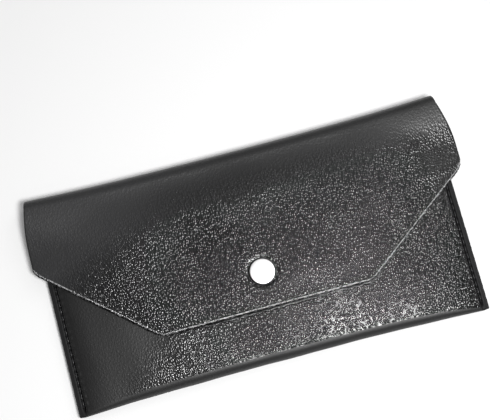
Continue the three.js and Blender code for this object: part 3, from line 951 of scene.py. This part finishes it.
def snapProfiles(s):
    capLow, capHigh = (v.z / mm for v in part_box("snap_cap"))
    socketLow, socketHigh = (v.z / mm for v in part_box("snap_socket"))
    studLow, studHigh = (v.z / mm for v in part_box("snap_stud"))
    postLow, postHigh = (v.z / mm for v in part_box("snap_post"))
    under = capHigh - s["capHeight"]
    faceRadius = s["capRadius"] - s["shoulder"]
    rimTop = capHigh - s["crown"]
    share = np.linspace(1, 0, 13)[1:, None]
    dome = np.concatenate([faceRadius * share, capHigh - s["crown"] * share**2], 1)
    cap = np.concatenate(
        [
            [[0, capLow], [s["shankRadius"], capLow], [s["shankRadius"], under], [faceRadius, under]],
            arc(faceRadius, under + 0.3, s["shoulder"], 0.3, -80, 0, 5),  # tucked edge
            arc(faceRadius, under + 0.3, s["shoulder"], rimTop - under - 0.3, 6, 84, 14),  # rounded edge
            dome,
        ]
    )
    socket = np.concatenate(
        [
            [[0, socketHigh - 0.45], [2.0, socketHigh - 0.45]],  # end of the well
            arc(2.35, socketHigh - 0.8, 0.0, 0.35, 90, 0, 3),  # its wall
            arc(2.65, socketLow + 0.3, 0.3, 0.3, 180, 270, 6),  # lip
            arc(4.2, socketLow + 0.25, 0.5, 0.22, 250, 290, 4),  # face
            arc(4.9, socketLow + 0.4, 0.4, 0.4, 270, 360, 6),  # rounded edge
            [[5.3, socketHigh], [0, socketHigh]],
        ]
    )
    stud = np.concatenate(
        [
            [[0, studHigh - 0.4], [1.2, studHigh - 0.42], [1.32, studHigh - 0.6], [1.35, studLow]],  # bore
            arc(4.6, studLow + 0.2, 0.2, 0.2, -90, 0, 4),  # edge of the flange, below
            arc(4.6, studLow + 0.3, 0.2, 0.2, 0, 90, 4),  # and above
            [[2.1, studLow + 0.5]],
            arc(2.1, studLow + 0.85, 0.35, 0.35, 270, 180, 5),  # neck
            arc(1.75, studLow + 1.4, 0.3, 0.5, -60, 90, 10),  # head
            [[0, studHigh]],
        ]
    )
    post = np.concatenate(
        [
            [[0, postLow + 0.12], [2.2, postLow + 0.12], [2.5, postLow]],  # dished underside
            arc(4.35, postLow + 0.25, 0.25, 0.25, -90, 90, 8),  # edge of the flange
            [[1.2, postLow + 0.5], [1.2, postHigh], [0, postHigh]],  # shank
        ]
    )
    return {"snapCap": cap, "snapSocket": socket, "snapStud": stud, "snapPost": post}


snapNodes = {  # node, finish, body and slot of each piece
    "snapCap": ("snap_cap", "cap", "flap", "polished_nickel"),
    "snapSocket": ("snap_socket", "inner", "flap", "plain_nickel"),
    "snapStud": ("snap_stud", "inner", "pouch", "plain_nickel"),
    "snapPost": ("snap_post", "inner", "pouch", "plain_nickel"),
}
for name, profile in snapProfiles(snap).items():
    node, finish, body, slot = snapNodes[name]
    made = turnedPiece(name, profile, finish, snap)
    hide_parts(node)
    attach(made, body)
print("snap made")

# Floor and light.
studio = {
    "floorSize": 12.0,  # m
    "floor": (0.73, 0.73, 0.73),
    "floorGlow": (0.12, 0.12, 0.12),  # added for the camera and in mirrors, so that the floor shows white
    "farGlow": (0.85, 0.85, 0.85),  # the same further off, where the lamps reach less
    "farFrom": 0.15,  # m from the middle of the floor
    "farTo": 0.85,
    "key": {"place": (0.122, -0.178, 0.62), "size": 0.18, "power": 4.6},
    "side": {"place": (0.40, 0.30, 0.42), "size": 0.30, "power": 0.5},
    "skyLow": 0.12,
    "skyLobes": {  # strength, power and axis of each
        "back": (0.50, 7.0, (0.14, 0.38, 0.90)),
        "rear": (0.27, 5.0, (0.10, 0.97, 0.20)),
        "front": (0.08, 6.0, (0.20, -0.95, 0.15)),
    },
}


def makeFloor(s):
    half = s["floorSize"] / 2
    mesh = bpy.data.meshes.new("floor")
    mesh.from_pydata([(-half, -half, 0), (half, -half, 0), (half, half, 0), (-half, half, 0)], [], [(0, 1, 2, 3)])
    floor = bpy.data.objects.new("floor", mesh)
    bpy.context.scene.collection.objects.link(floor)
    f = Finish("paleFloor")
    ray = [f.node("ShaderNodeLightPath", output=kind) for kind in ("Is Camera Ray", "Is Glossy Ray")]
    plain = f.node("ShaderNodeBsdfDiffuse", {}, {"Color": s["floor"]})
    where = f.node("ShaderNodeTexCoord", output="Object")
    away = f.node("ShaderNodeVectorMath", {"operation": "LENGTH"}, (where,), "Value")
    tint = f.mix(away.step(s["farFrom"], s["farTo"]), s["floorGlow"], s["farGlow"])
    glow = f.node("ShaderNodeEmission", {}, {"Color": tint, "Strength": 1.0})
    both = f.node("ShaderNodeAddShader", {}, (plain, glow))
    mesh.materials.append(f.close(f.node("ShaderNodeMixShader", {}, (ray[0] + ray[1], plain, both))))


def makeLamp(name, s):
    data = bpy.data.lights.new(name, "AREA")
    data.shape = "SQUARE"
    data.size = s["size"]
    data.energy = s["power"]
    lamp = bpy.data.objects.new(name, data)
    lamp.location = s["place"]
    lamp.rotation_euler = (-Vector(s["place"])).to_track_quat("-Z", "Y").to_euler()
    bpy.context.scene.collection.objects.link(lamp)


# A soft sky, brighter round three directions, each lobe as strength * cos(angle)^power.
def makeSky(s):
    world = bpy.data.worlds.new("studio")
    world.use_nodes = True
    bpy.context.scene.world = world
    f = Finish("studio", world.node_tree)
    where = f.node("ShaderNodeTexCoord", output="Generated")
    strength = s["skyLow"]
    for high, power, axis in s["skyLobes"].values():
        axis = tuple(Vector(axis).normalized())
        facing = f.node("ShaderNodeVectorMath", {"operation": "DOT_PRODUCT"}, (where, axis), "Value")
        strength = strength + high * facing.clamp() ** power
    sky = f.node("ShaderNodeBackground", {}, {"Color": (1.0, 1.0, 1.0), "Strength": strength})
    f.close(sky, "ShaderNodeOutputWorld")


makeFloor(studio)
makeLamp("key", studio["key"])
makeLamp("side", studio["side"])
makeSky(studio)
bpy.context.scene.view_settings.view_transform = "Standard"
print("studio made")
